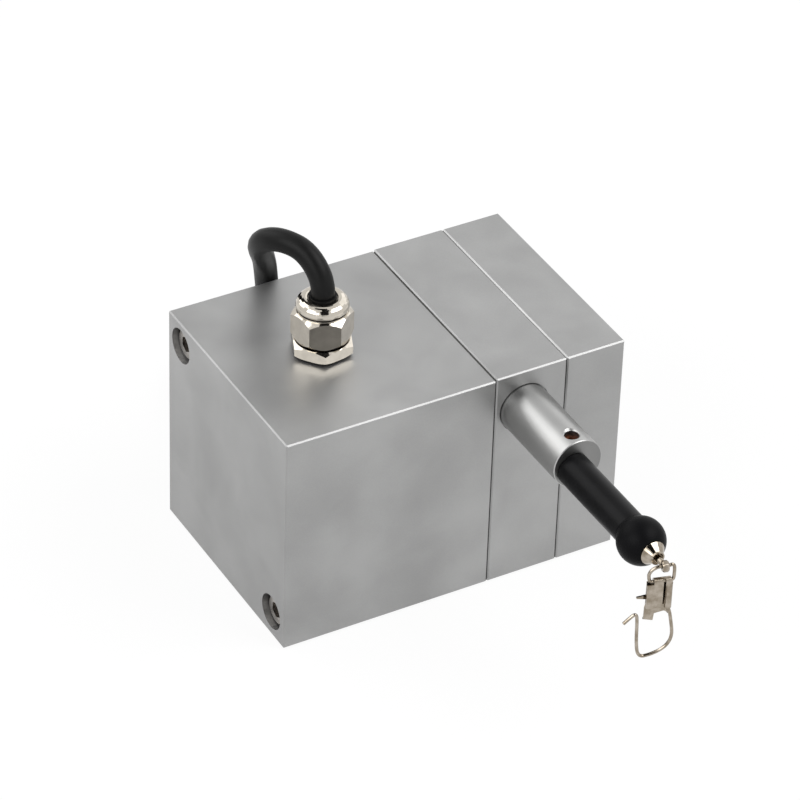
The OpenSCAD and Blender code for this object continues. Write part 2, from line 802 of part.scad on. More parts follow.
// Sheet folded over the link's lower bar, rolled round the snap's wire on its right
module snap_plate() {
    half = 0.75;
    outer = half + plate_t / 2;
    inner = half - plate_t / 2;
    module sheet(points, y) {
        translate([0, y + plate_t / 2, 0]) rotate([90, 0, 0]) linear_extrude(plate_t) polygon(points);
    }
    color("tan") snap_frame() {
        // the fold round the link's bar, open in front where the slot ends
        translate([-2.7, 0, bar_down]) rotate([0, 90, 0]) difference() {
            cylinder(h = 4.45, r = outer);
            translate([0, 0, -1]) cylinder(h = 7, r = inner);
            translate([0, -3, -1]) cube([3, 6, 7]);
            translate([-0.75, -2, 2.3]) cube([3, 2, 0.75]);
        }
        // front: left of the slot, and the strip that runs into the roll
        sheet([[-2.7, bar_down], [-0.4, bar_down], [-0.4, -12.3], [-4.35, -12.1],
            [-4.45, -4.85], [-2.7, -4.8]], -half);
        sheet([[0.35, bar_down], [1.75, bar_down], [1.75, -5.6], [0.35, -5.6]], -half);
        // back: with the lug on the left and the latch tab below
        sheet([[-2.7, bar_down], [1.75, bar_down], [1.75, -5.2], [1.4, -5.3], [1.4, -12.8], [1.9, -13.2],
            [2.1, -15.8], [1.7, -15.4], [1.1, -14.7], [0.6, -14.5], [-1.75, -15], [-1.95, -17],
            [-4.4, -16.3], [-4.3, -12.5], [-4.15, -12.4], [-4.15, -10.2], [-6.5, -9.75],
            [-6.55, -9.3], [-4.15, -8.95], [-4.15, -4.85], [-2.7, -4.8]], half);
        // the roll round the wire's straight end
        translate([1.4, 0, -12.8]) difference() {
            cylinder(h = 7.6, r = outer);
            translate([0, 0, -1]) cylinder(h = 10, r = inner);
            translate([-3, 0, -1]) cube([3, 3, 10]);
        }
        // the clamp that pinches the wire inside the roll
        translate([1.4, 0, -8.6]) difference() {
            cylinder(h = 1.6, r = inner);
            translate([0, 0, -1]) cylinder(h = 4, r = snap_r);
        }
        // the latch lip along the tab's lower edge
        translate([-4.38, half + 0.15, -16.3]) rotate([0, 106, 0]) cylinder(h = 2.5, r = 0.35, $fn = 24);
    }
}

module snap_bow() {
    color("tan") snap_frame() bent_wire(bow_points);
}

module snap_gate() {
    color("tan") snap_frame() bent_wire(gate_points);
}

// ---------- cable ----------

function tangent(p, i, closed) = closed
    ? unit(p[(i + 1) % len(p)] - p[(i + len(p) - 1) % len(p)])
    : unit(p[min(i + 1, len(p) - 1)] - p[max(i - 1, 0)]);
function square_to(n, t) = unit(n - t * (n * t));

// Round tube swept along a route, its rings turned with the route
module tube_along(route, r, sides, first_normal, closed = false) {
    last = len(route) - 1;
    along = [for (i = [0 : last]) tangent(route, i, closed)];
    normals = [
        for (i = 0, n = square_to(first_normal, along[0]); i <= last;
            i = i + 1, n = i <= last ? square_to(n, along[i]) : n) n
    ];
    points = [
        for (i = [0 : last], k = [0 : sides - 1]) let (a = 360 * k / sides)
            route[i] + r * (cos(a) * normals[i] + sin(a) * cross(along[i], normals[i]))
    ];
    walls = [
        for (i = [0 : closed ? last : last - 1], k = [0 : sides - 1])
            let (j = (i + 1) % (last + 1), m = (k + 1) % sides)
                [i * sides + k, j * sides + k, j * sides + m, i * sides + m]
    ];
    caps = closed ? [] : [
        [for (k = [0 : sides - 1]) k], [for (k = [sides - 1 : -1 : 0]) last * sides + k]
    ];
    polyhedron(points = points, faces = concat(walls, caps), convexity = 6);
}

module cable() {
    color("black") tube_along(cable_route, cable_r, 12, [1, 0, 0]);
}

// Outer shape of the wound cable: a ring with round ends, wider where the cable runs in
module cable_hank() {
    edge = hank_out + cable_r;
    wide = hank_lead_in + cable_r;
    hole = hank_in - cable_r;
    // how wide the outer run is, from the right bend's start at 0 over its end at 1 to the far run
    function reach(w) = let (t = min(1, max(0, (w - 0.6) / 0.8))) wide + (edge - wide) * t * t * (3 - 2 * t);
    color("black") linear_extrude(hank_h) difference() {
        union() {
            translate([hank_x[0], hank_y]) circle(r = edge);
            polygon(concat(
                [[hank_x[0], hank_y - wide]],
                [for (k = [0 : 30]) let (w = k / 30)
                    [hank_x[1] + reach(w) * cos(180 * w - 90), hank_y + reach(w) * sin(180 * w - 90)]],
                [for (k = [1 : 5]) let (w = 1 + 0.08 * k)
                    [hank_x[1] + (hank_x[0] - hank_x[1]) * (w - 1), hank_y + reach(w)]],
                [[hank_x[0], hank_y + edge]]
            ));
        }
        difference() {
            union() {
                translate([hank_x[0], hank_y - hole]) square([hank_x[1] - hank_x[0], 2 * hole]);
                translate([hank_x[0], hank_y]) circle(r = hole);
                translate([hank_x[1], hank_y]) circle(r = hole);
            }
            polygon([
                [hank_x[0], hank_y - hole - 1], [tail_end[0] - 6, tail_end[1] + cable_r - 0.3],
                [tail_end[0], tail_end[1] + cable_r], [tail_end[0], hank_y - hole - 1]
            ]);
        }
    }
}

// A flat band round each run of the hank
module cable_ties() {
    near = [hank_y - hank_lead_in - cable_r, hank_y - hank_in + 3 * cable_r];
    far = [hank_y + hank_in - cable_r, hank_y + hank_out + cable_r];
    module band(y0, y1) {
        translate([tie_x, y0 - tie_t, 0]) difference() {
            cube([tie_w, y1 - y0 + 2 * tie_t, hank_h + tie_t]);
            translate([-1, tie_t, -1]) cube([tie_w + 2, y1 - y0, hank_h + 1]);
        }
    }
    color("dimgray") {
        band(near[0], near[1]);
        band(far[0], far[1]);
    }
}

// Five leads that spread a little from the sheath's cut end
module cable_leads() {
    color("silver") for (a = [18 : 72 : 306]) {
        translate([tail_end[0], tail_end[1] + 1.5 * cos(a), cable_r + 1.5 * sin(a)])
            rotate([0, 90 - 3 * sin(a), 3 * cos(a)]) cylinder(h = lead_len, r = lead_r, $fn = 24);
    }
}

// ---------- the part ----------

encoder_case();
drum_case();
spring_case();
encoder_case_seal();
spring_case_seal();
encoder_case_screws();
spring_case_screws();
outlet_tube();
guide_bush();
bearing_outer_rings();
bearing_inner_rings();
drum_shaft();
wire_drum();
wound_wire();
spring_cover();
cover_screws();
power_spring();
spring_arbor();
spring_anchor();
shaft_coupling();
coupling_screws();
encoder_shaft();
code_disc();
encoder_bearings();
encoder_flange();
encoder_cap();
encoder_board();
bracket_plate();
standoffs();
bracket_screws();
flange_screws();
inner_cable();
gland_washer();
gland_body();
gland_nut();
gland_seal();
draw_wire();
wire_sleeve();
ball_stop();
wire_ferrule();
swivel_pin();
wire_link();
snap_plate();
snap_bow();
snap_gate();
cable();
cable_hank();
cable_ties();
cable_leads();
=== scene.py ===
"""Looks for the draw wire encoder: finishes, wires, cable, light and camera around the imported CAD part."""

import json
import math

import bmesh
import bpy
from mathutils import Matrix, Vector


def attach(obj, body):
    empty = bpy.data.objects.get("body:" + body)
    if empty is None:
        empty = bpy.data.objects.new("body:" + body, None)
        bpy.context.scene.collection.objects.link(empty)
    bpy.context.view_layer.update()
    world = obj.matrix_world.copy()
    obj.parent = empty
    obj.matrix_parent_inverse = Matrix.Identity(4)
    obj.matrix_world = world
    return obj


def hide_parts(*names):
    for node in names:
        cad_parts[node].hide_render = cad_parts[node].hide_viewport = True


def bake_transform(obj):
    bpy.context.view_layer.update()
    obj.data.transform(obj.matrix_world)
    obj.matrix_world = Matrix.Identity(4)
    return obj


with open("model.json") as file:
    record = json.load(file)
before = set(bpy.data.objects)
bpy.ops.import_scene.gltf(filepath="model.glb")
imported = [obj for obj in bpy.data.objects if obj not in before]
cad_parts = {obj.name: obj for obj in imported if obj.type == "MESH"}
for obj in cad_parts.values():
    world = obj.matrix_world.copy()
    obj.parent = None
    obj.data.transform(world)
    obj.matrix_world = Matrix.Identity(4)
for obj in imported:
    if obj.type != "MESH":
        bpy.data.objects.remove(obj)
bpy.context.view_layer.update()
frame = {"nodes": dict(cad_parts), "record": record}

nodes = frame["nodes"]

MM = 0.001

# Places that several pieces and finishes share, in millimetres.
WIRE_X, WIRE_Z = 18.15, 53.2  # the line that the draw wire comes out on
SPRING_JOINT_X = 31.9  # the joint between the drum's case and the spring's case
BETWEEN_JOINTS_X = 20.0  # past the encoder's joint and short of the spring's
HIGHLIGHT_Y, HIGHLIGHT_REACH = -5.0, 34.0  # where the painted highlight on the cases' upper bevels is brightest along Y, and how far that reaches


# ---------- camera ----------

camera = bpy.data.objects.new("camera", bpy.data.cameras.new("camera"))
bpy.context.scene.collection.objects.link(camera)
bpy.context.scene.camera = camera
camera.data.lens = 200.9
camera.data.sensor_width = 36
camera.data.clip_start = 0.05
camera.data.clip_end = 20
camera.location = (-0.46708, -0.80575, 0.73333)
camera.rotation_euler = (math.radians(53.373), math.radians(-1.567), math.radians(-29.036))


# ---------- nodes ----------


class Varying:
    """A node's output, which adds, subtracts, multiplies and divides like a number."""

    def __init__(self, shading, socket):
        self.shading, self.socket = shading, socket

    def __add__(self, other):
        return self.shading.maths("ADD", self, other)

    def __sub__(self, other):
        return self.shading.maths("SUBTRACT", self, other)

    def __rsub__(self, other):
        return self.shading.maths("SUBTRACT", other, self)

    def __mul__(self, other):
        return self.shading.maths("MULTIPLY", self, other)

    def __truediv__(self, other):
        return self.shading.maths("DIVIDE", self, other)

    def __rtruediv__(self, other):
        return self.shading.maths("DIVIDE", other, self)

    def __abs__(self):
        return self.shading.maths("ABSOLUTE", self)

    def above(self, limit):
        """1 where this value is above the limit, and 0 elsewhere."""
        return self.shading.maths("GREATER_THAN", self, limit)

    def ramp(self, low, high, to_low=0.0, to_high=1.0):
        """This value between low and high, spread over to_low and to_high and held at both ends."""
        return self.shading.make(
            "ShaderNodeMapRange",
            {"clamp": True, "interpolation_type": "SMOOTHSTEP"},
            {"Value": self, "From Min": low, "From Max": high, "To Min": to_low, "To Max": to_high},
        )

    __radd__ = __add__
    __rmul__ = __mul__


class Shading:
    """The nodes of a material or of the world."""

    def __init__(self, owner, output_kind):
        owner.use_nodes = True
        self.owner = owner
        self.tree = owner.node_tree
        self.tree.nodes.clear()
        self.output = self.tree.nodes.new(output_kind)

    def make(self, kind, settings, inputs, output=0):
        """Adds a node, gives it its settings, then its inputs, and returns one of its outputs."""
        node = self.tree.nodes.new(kind)
        for key, value in settings.items():
            setattr(node, key, value)
        for key, value in inputs.items():
            self.feed(node.inputs[key], value)
        return Varying(self, node.outputs[output])

    def feed(self, socket, value):
        """Links the value to the socket, or sets the socket to it."""
        if isinstance(value, Varying):
            self.tree.links.new(value.socket, socket)
        elif socket.type == "RGBA":
            socket.default_value = (*value, 1.0)
        else:
            socket.default_value = value

    def maths(self, operation, *values):
        return self.make("ShaderNodeMath", {"operation": operation}, dict(enumerate(values)))

    def ray(self, kind):
        """1 for the rays of a kind, such as Camera or Glossy, and 0 for the others."""
        return self.make("ShaderNodeLightPath", {}, {}, "Is %s Ray" % kind)

    def show(self, shader):
        """Shows this shader, and returns the material or the world."""
        self.tree.links.new(shader.socket, self.output.inputs["Surface"])
        return self.owner


class Finish(Shading):
    """A procedural material."""

    def __init__(self, name):
        super().__init__(bpy.data.materials.new(name), "ShaderNodeOutputMaterial")
        self.place = self.coordinates("Object")

    def coordinates(self, kind):
        """Object gives the place on the part, in metres, and Normal gives the way the surface faces."""
        return self.make("ShaderNodeTexCoord", {}, {}, kind)

    def part_of(self, vector, letter):
        """A vector's X, Y or Z."""
        return self.make("ShaderNodeSeparateXYZ", {}, {0: vector}, letter)

    def along(self, letter):
        """The place along X, Y or Z, in millimetres."""
        return self.part_of(self.place, letter) / MM

    def stretched(self, x, y, z):
        """The place with each axis scaled, for grain that runs along one of them."""
        return self.make("ShaderNodeVectorMath", {"operation": "MULTIPLY"}, {0: self.place, 1: (x, y, z)})

    def noise(self, scale, detail=2.0, roughness=0.5, place=None, distortion=0.0):
        """Grey noise from 0 to 1. Scale is in features per metre."""
        inputs = {
            "Vector": place or self.place,
            "Scale": scale,
            "Detail": detail,
            "Roughness": roughness,
            "Distortion": distortion,
        }
        return self.make("ShaderNodeTexNoise", {}, inputs)

    def blend(self, share, low, high):
        """A colour between low and high. A Mix node takes colours at 6 and 7 and gives one at 2."""
        return self.make("ShaderNodeMix", {"data_type": "RGBA"}, {0: share, 6: low, 7: high}, 2)

    def tinted(self, color, factor):
        """The colour times a varying factor."""
        channels = {key: factor * value for key, value in zip(("Red", "Green", "Blue"), color)}
        return self.make("ShaderNodeCombineColor", {}, channels)

    def mid_highlight(self):
        """The strength of a painted highlight: strongest near the middle of the cases' depth, and half of
        that at front and back.
        """
        return abs(self.along("Y") - HIGHLIGHT_Y).ramp(0.0, HIGHLIGHT_REACH, 1.0, 0.5)

    def bump(self, height, strength, distance):
        """Fine relief. Distance is in millimetres."""
        inputs = {"Strength": strength, "Distance": distance * MM, "Height": height}
        return self.make("ShaderNodeBump", {}, inputs)

    def surface(self, **inputs):
        """Finishes with the main shader. Names of inputs have _ for spaces."""
        named = {key.replace("_", " "): value for key, value in inputs.items()}
        return self.show(self.make("ShaderNodeBsdfPrincipled", {}, named))


def shade(color, factor):
    return tuple(min(1.0, c * factor) for c in color)


# ---------- finishes ----------


def satin_aluminium(name, color, roughness, edge_tone=1.0, end_tone=1.0, highlight_at_x=None, highlight_share=0.35):
    """Blasted and clear anodised: a very fine grain, with soft clouds in the colour and the gloss.

    Faces that lean away from all three axes, such as bevels, are edge_tone times as bright, a painted tone
    on their highlights, and faces square to Y, such as a turned end, end_tone times, a painted shade. At a
    place along X given in millimetres, upper bevels carry a painted highlight, brighter by the given share.
    """
    f = Finish(name)
    straight = f.make("ShaderNodeVectorMath", {"operation": "ABSOLUTE"}, {0: f.coordinates("Normal")})
    to_x, to_y, to_z = [f.part_of(straight, letter) for letter in "XYZ"]
    straightness = f.maths("MAXIMUM", to_x, f.maths("MAXIMUM", to_y, to_z))
    # Painted light by facing: bevels toned against their highlights, end faces darkened as painted shade.
    edge = straightness.ramp(0.8, 0.95, edge_tone, 1.0) * to_y.ramp(0.9, 0.98, 1.0, end_tone)
    if highlight_at_x is not None:
        # Painted highlight on the upper bevels at the given joint, strongest at the cases' middle depth.
        wear_and_highlight = abs(f.along("X") - highlight_at_x).ramp(0.5, 0.6, 1.0, 0.0) * to_z.ramp(0.5, 0.65)
        edge = edge * (1.0 + wear_and_highlight * (1.0 - straightness.ramp(0.8, 0.95)) * f.mid_highlight() * highlight_share)
    clouds = f.noise(28.0, 3.0, 0.45)
    grain = f.noise(3800.0, 2.0, 0.6)
    handling = f.noise(60.0, 2.0, 0.55, distortion=0.4)
    tone = clouds * 0.5 + grain * 0.2 + handling * 0.3
    return f.surface(
        Base_Color=f.tinted(color, tone.ramp(0.25, 0.75, 0.84, 1.14) * edge),
        Metallic=1.0,
        Roughness=roughness + (clouds - 0.5) * 0.16 + (grain - 0.5) * 0.08,
        Normal=f.bump(grain, 0.12, 0.02),
    )


def turned_metal(name, color, roughness, rings=5200.0):
    """Lathe-turned metal: fine rings across the X axis and a little dulling."""
    f = Finish(name)
    lines = f.noise(1.0, 2.0, 0.6, f.stretched(rings, 40.0, 40.0))
    dull = f.noise(160.0, 3.0, 0.5)
    return f.surface(
        Base_Color=f.blend(dull.ramp(0.3, 0.7), shade(color, 0.88), shade(color, 1.08)),
        Metallic=1.0,
        Roughness=roughness + (dull - 0.5) * 0.12 + (lines - 0.5) * 0.1,
        Normal=f.bump(lines, 0.1, 0.01),
    )


def plated(name, color, roughness, shaded_bands=(), tarnish=None):
    """Nickel plating: bright, with a faint waviness and a few duller patches.

    The bands given by their lowest and highest places along Z, in millimetres, are darkened as painted shade.
    tarnish is the colour of the dullest patches.
    """
    f = Finish(name)
    patches = f.noise(420.0, 3.0, 0.55)
    waves = f.noise(900.0, 1.0, 0.4)
    plating = f.blend(patches.ramp(0.3, 0.75), tarnish or shade(color, 0.9), shade(color, 1.06))
    for low, high in shaded_bands:
        # Painted shade in each band.
        in_shaded_band = f.along("Z").ramp(low, low + 0.1) * f.along("Z").ramp(high - 0.1, high, 1.0, 0.0)
        plating = f.blend(in_shaded_band, plating, shade(color, 0.12))
    return f.surface(
        Base_Color=plating,
        Metallic=1.0,
        Roughness=roughness + (patches - 0.5) * 0.1,
        Normal=f.bump(waves, 0.1, 0.03),
    )


def soft_black(name, color, roughness, skin_scale=2800.0, relief=0.15, gloss=0.2):
    """Rubber or plastic: finely matt, with slight rubbed patches twenty times as wide as its skin's grain."""
    f = Finish(name)
    skin = f.noise(skin_scale, 3.0, 0.6)
    wear_and_highlight = f.noise(skin_scale / 20, 3.0, 0.5)
    return f.surface(
        Base_Color=f.blend(wear_and_highlight.ramp(0.35, 0.75), shade(color, 0.75), shade(color, 1.35)),
        Roughness=roughness + (wear_and_highlight - 0.5) * 0.14 + (skin - 0.5) * 0.06,
        Normal=f.bump(skin, relief, 0.03),
        Specular_IOR_Level=gloss,
    )


def flat_gasket(name, color, roughness, upper_light_color, highlight_from_x, highlight_color):
    """A pressed rubber seal: near black, painted lighter on its upper edge, with a painted highlight there
    past the given place along X.
    """
    f = Finish(name)
    skin = f.noise(2800.0, 3.0, 0.6)
    upper = f.part_of(f.coordinates("Normal"), "Z").ramp(0.5, 0.7)
    # Upper faces are painted lighter, and past the given place they carry a painted highlight that fades from
    # the middle depth.
    painted_upper_light = f.blend(f.along("X").above(highlight_from_x), upper_light_color, f.tinted(highlight_color, f.mid_highlight()))
    return f.surface(
        Base_Color=f.blend(upper, f.blend(skin, shade(color, 0.75), shade(color, 1.35)), painted_upper_light),
        Roughness=roughness + (skin - 0.5) * 0.06,
        Normal=f.bump(skin, 0.15, 0.03),
        Specular_IOR_Level=0.1,
    )


def steel_rope(name, color, center_x, center_z, lay, strand_count=6):
    """Fine stranded rope along Y: the strands wind once round its middle in lay millimetres."""
    f = Finish(name)
    turn = f.maths("ARCTAN2", f.along("Z") - center_z, f.along("X") - center_x)
    strands = f.maths("SINE", turn * strand_count + f.along("Y") * (2 * math.pi * strand_count / lay))
    return f.surface(
        # Darker between the strands: painted shade in the grooves.
        Base_Color=f.blend(strands.ramp(-1.0, 0.2), shade(color, 0.25), color),
        Metallic=1.0,
        Roughness=0.3 + f.noise(2500.0) * 0.12,
        Normal=f.bump(strands, 0.6, 0.1),
    )


def printed_board(name):
    """Green lacquered board with fine copper tracks under the lacquer."""
    f = Finish(name)
    tracks = f.make("ShaderNodeTexBrick", {}, {"Vector": f.stretched(0.0, 1.0, 1.0), "Scale": 160.0}, "Fac")
    speck = f.noise(900.0)
    lacquer = f.blend(speck, (0.015, 0.11, 0.05), (0.03, 0.16, 0.07))
    return f.surface(
        Base_Color=f.blend(tracks, lacquer, (0.1, 0.26, 0.1)),
        Roughness=0.28 + speck * 0.14,
        Normal=f.bump(tracks, 0.2, 0.05),
    )


FINISHES = {
    # The case's bevels get a painted tone on their highlights, and its upper bevels at the spring joint carry
    # a painted highlight.
    "case_aluminium": satin_aluminium(
        "case_aluminium", (0.372, 0.372, 0.37), 0.44, edge_tone=0.92, highlight_at_x=SPRING_JOINT_X
    ),
    # The tube's end face is darkened as a painted reflection of the black sleeve.
    "tube_aluminium": satin_aluminium("tube_aluminium", (0.385, 0.385, 0.38), 0.35, end_tone=0.62),
    "machined_aluminium": turned_metal("machined_aluminium", (0.66, 0.66, 0.67), 0.3),
    # The seal's upper edge is painted lighter, with a painted highlight past the encoder's joint.
    "flat_seal": flat_gasket(
        "flat_seal", (0.012, 0.013, 0.012), 0.6, (0.15, 0.15, 0.14), BETWEEN_JOINTS_X, (0.24, 0.24, 0.235)
    ),
    "black_rubber": soft_black("black_rubber", (0.006, 0.006, 0.006), 0.42, gloss=0.12),
    "dark_steel": turned_metal("dark_steel", (0.42, 0.395, 0.37), 0.26, 2600.0),
    "ground_steel": turned_metal("ground_steel", (0.5, 0.5, 0.51), 0.22),
    "bearing_steel": plated("bearing_steel", (0.6, 0.6, 0.61), 0.14),
    "spring_steel": turned_metal("spring_steel", (0.2, 0.23, 0.29), 0.3, 900.0),
    "wire_steel": plated("wire_steel", (0.5, 0.5, 0.5), 0.26),
    "copper_bush": turned_metal("copper_bush", (0.24, 0.075, 0.032), 0.32),
    "coded_disc": soft_black("coded_disc", (0.3, 0.34, 0.34), 0.25),
    "cap_plastic": soft_black("cap_plastic", (0.03, 0.03, 0.034), 0.45),
    "board_green": printed_board("board_green"),
    "standoff_brass": turned_metal("standoff_brass", (0.62, 0.42, 0.14), 0.28),
    # The gland's darkened bands are painted shade: the line in the neck groove and the contact shadow under
    # the flange.
    "gland_nickel": plated("gland_nickel", (0.56, 0.52, 0.455), 0.08, shaded_bands=[(77.8, 78.45), (65.3, 65.8)]),
    "snap_nickel": plated("snap_nickel", (0.4, 0.355, 0.3), 0.06, tarnish=(0.25, 0.21, 0.16)),
    "sleeve_rubber": soft_black("sleeve_rubber", (0.004, 0.004, 0.0045), 0.34, gloss=0.09),
    "ball_plastic": soft_black("ball_plastic", (0.003, 0.003, 0.0035), 0.4, 2000.0, 0.08, gloss=0.05),
    "cable_sheath": soft_black("cable_sheath", (0.006, 0.006, 0.006), 0.42, gloss=0.12),
    "tie_nylon": soft_black("tie_nylon", (0.03, 0.03, 0.03), 0.4),
    "lead_insulation": soft_black("lead_insulation", (0.3, 0.12, 0.05), 0.42),
}
ROPE = steel_rope("stranded_rope", (0.55, 0.55, 0.55), WIRE_X, WIRE_Z, lay=5.0)
LEADS = [
    soft_black("lead_" + word, color, 0.42)
    for word, color in {
        "brown": (0.16, 0.06, 0.02),
        "white": (0.75, 0.74, 0.7),
        "green": (0.05, 0.3, 0.08),
        "yellow": (0.75, 0.55, 0.05),
        "grey": (0.25, 0.25, 0.26),
    }.items()
]

SLOT_OF = {part["node"]: part["material_slot"] for part in frame["record"]["subparts"]}
for node_name, node_object in nodes.items():
    node_object.data.materials.clear()
    node_object.data.materials.append(FINISHES[SLOT_OF[node_name]])


# ---------- swept pieces ----------


def straight_line(start, direction, begin, end, steps):
    """Places from begin to end along a straight line, which are in millimetres from its start."""
    return [(start + direction * (begin + (end - begin) * k / steps)) * MM for k in range(steps + 1)]


def smooth_line(points, per_step=4):
    """A smooth line through the points, with per_step places between each two."""
    pts = [Vector(p) for p in points]
    ends = [2 * pts[0] - pts[1], *pts, 2 * pts[-1] - pts[-2]]
    line = []
    for a, b, c, d in zip(ends, ends[1:], ends[2:], ends[3:]):
        slope, bend, twist = c - a, 2 * a - 5 * b + 4 * c - d, 3 * b - a - 3 * c + d
        for k in range(per_step):
            t = k / per_step
            line.append(0.5 * ((2 * b) + slope * t + bend * t * t + twist * t**3))
    return [*line, pts[-1]]


def sweep(name, line, radius, finish, sides=16, closed=False, start_normal=(0, 1, 0)):
    """A round bar along a line of points. radius may be a function of the share of the way, 0 to 1."""
    mesh = bpy.data.meshes.new(name)
    form = bmesh.new()
    count = len(line)
    normal = Vector(start_normal)
    rings = []
    for i, point in enumerate(line):
        before = line[i - 1] if closed or i else point
        after = line[(i + 1) % count] if closed or i < count - 1 else point
        along = (after - before).normalized()
        normal = (normal - along * normal.dot(along)).normalized()
        side = along.cross(normal)
        r = radius(i / (count - 1)) if callable(radius) else radius
        ring = []
        for k in range(sides):
            angle = 2 * math.pi * k / sides
            ring.append(form.verts.new(point + r * (math.cos(angle) * normal + math.sin(angle) * side)))
        rings.append(ring)
    pairs = zip(rings, rings[1:] + rings[:1]) if closed else zip(rings, rings[1:])
    for one, other in pairs:
        for k in range(sides):
            form.faces.new([one[k], one[(k + 1) % sides], other[(k + 1) % sides], other[k]])
    if not closed:
        form.faces.new(list(reversed(rings[0])))
        form.faces.new(rings[-1])
    bmesh.ops.recalc_face_normals(form, faces=form.faces)
    form.to_mesh(mesh)
    form.free()
    for face in mesh.polygons:
        face.use_smooth = len(face.vertices) == 4
    mesh.materials.append(finish)
    piece = bpy.data.objects.new(name, mesh)
    bpy.context.scene.collection.objects.link(piece)
    return piece


def rounded_ends(radius, length):
    """A bar's radius along its way, drawn in to a round end at both ends."""

    def at(share):
        gap = min(share, 1 - share) * length
        return radius * math.sqrt(max(0.02, 1 - max(0.0, 1 - gap / radius) ** 2))

    return at


# ---------- cable ----------

# All in millimetres: up out of the gland, over, and down behind the cases to the floor.
CABLE_D = 6.2
ROUTE = [
    (-21.7, 0, 81.9), (-21.7, 0, 83.6), (-21.8, 1.2, 86.4), (-22.3, 3.1, 88.8),
    (-23.1, 5.4, 90.7), (-24.2, 7.8, 91.9), (-25.6, 10.4, 92.3), (-27, 13.2, 92),
    (-28.1, 16, 90.9), (-28.6, 18.8, 89), (-28.3, 21.4, 86.4), (-27.2, 23.9, 83.4),
    (-25.6, 26.5, 80.3), (-23.7, 29.3, 77), (-21.7, 32.2, 73.2), (-19.8, 34.9, 68.6),
    (-18.3, 36.9, 62.8), (-17.3, 37.9, 56), (-17, 38, 48), (-17, 38, 38),
    (-16.8, 38, 28), (-16, 38, 20), (-13.6, 38, 13), (-9.8, 37.8, 7.4),
    (-5, 37.6, 4.1), (0, 37.6, 3.1), (3, 37.6, 3.1),
]  # fmt: skip
# The hank: where its two bends' middles are along X, its middle along Y, how far its lanes lie
# from that middle, and how high its layers.
HANK_X = (3.0, 49.0)
HANK_Y = 65.5
LANES = (27.9, 21.7, 15.5)
LAYERS = (3.1, 9.3)
# What the lane and the layer are in turn, and between which places of a turn they change.
# A turn's places: -1 to 0 the near run, 0 to 1 the right bend, 1 to 2 the far run, 2 to 3 the left bend.
CHANGES = [
    (LANES[0], LAYERS[0], LANES[1], LAYERS[0], 0.6, 1.4),
    (LANES[1], LAYERS[0], LANES[1], LAYERS[1], 0.35, 0.85),
    (LANES[1], LAYERS[1], LANES[2], LAYERS[1], 0.0, 0.5),
    (LANES[2], LAYERS[1], LANES[2], LAYERS[0], -0.6, 0.1),
]
STEPS_PER_TURN = 72
TAIL = [(9, 50.6, 3.1), (15, 52.4, 3.1), (21, 55.0, 3.1), (27, 57.4, 3.1), (32, 58.4, 3.1), (36, 58.5, 3.1)]
# The leads leave the tail's end on a small circle and fan out by a few degrees.
LEAD_CIRCLE_R, LEAD_FAN = 1.5, 3.0
LEAD_R, LEAD_END = 0.6, 13.0
LEAD_TIP_R, LEAD_TIP_BEGIN, LEAD_TIP_END = 0.35, 12.8, 17.0


def hank_place(turn, place):
    """A point of the wound cable, in millimetres."""
    lane_a, layer_a, lane_b, layer_b, begin, end = CHANGES[turn]
    t = min(1.0, max(0.0, (place - begin) / (end - begin)))
    t = t * t * (3 - 2 * t)
    r, z = lane_a + (lane_b - lane_a) * t, layer_a + (layer_b - layer_a) * t
    if place < 0:
        return (HANK_X[0] + (HANK_X[1] - HANK_X[0]) * (place + 1), HANK_Y - r, z)
    if place < 1:
        angle = math.pi * (place - 0.5)
        return (HANK_X[1] + r * math.cos(angle), HANK_Y + r * math.sin(angle), z)
    if place < 2:
        return (HANK_X[1] + (HANK_X[0] - HANK_X[1]) * (place - 1), HANK_Y + r, z)
    angle = math.pi * (place - 1.5)
    return (HANK_X[0] + r * math.cos(angle), HANK_Y + r * math.sin(angle), z)


wound = [
    Vector(hank_place(turn, -1 + 4 * k / STEPS_PER_TURN))
    for turn in range(len(CHANGES))
    for k in range(STEPS_PER_TURN)
]
unwound = smooth_line([(HANK_X[0], HANK_Y - LANES[2], LAYERS[0]), *TAIL])
cable_line = [point * MM for point in [*smooth_line(ROUTE)[:-1], *wound, *unwound]]
cable_length = sum((b - a).length for a, b in zip(cable_line, cable_line[1:]))

cable_curve = bpy.data.curves.new("signal_cable", "CURVE")
cable_curve.dimensions = "3D"
cable_curve.bevel_depth = CABLE_D / 2 * MM
cable_curve.bevel_resolution = 6
cable_curve.use_fill_caps = True
spline = cable_curve.splines.new("POLY")
spline.points.add(len(cable_line) - 1)
for point, place in zip(spline.points, cable_line):
    point.co = (*place, 1.0)
spline.use_smooth = True
cable_curve.materials.append(FINISHES["cable_sheath"])
signal_cable = bpy.data.objects.new("signal_cable", cable_curve)
bpy.context.scene.collection.objects.link(signal_cable)
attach(signal_cable, "housing")
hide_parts("cable", "cable_hank")

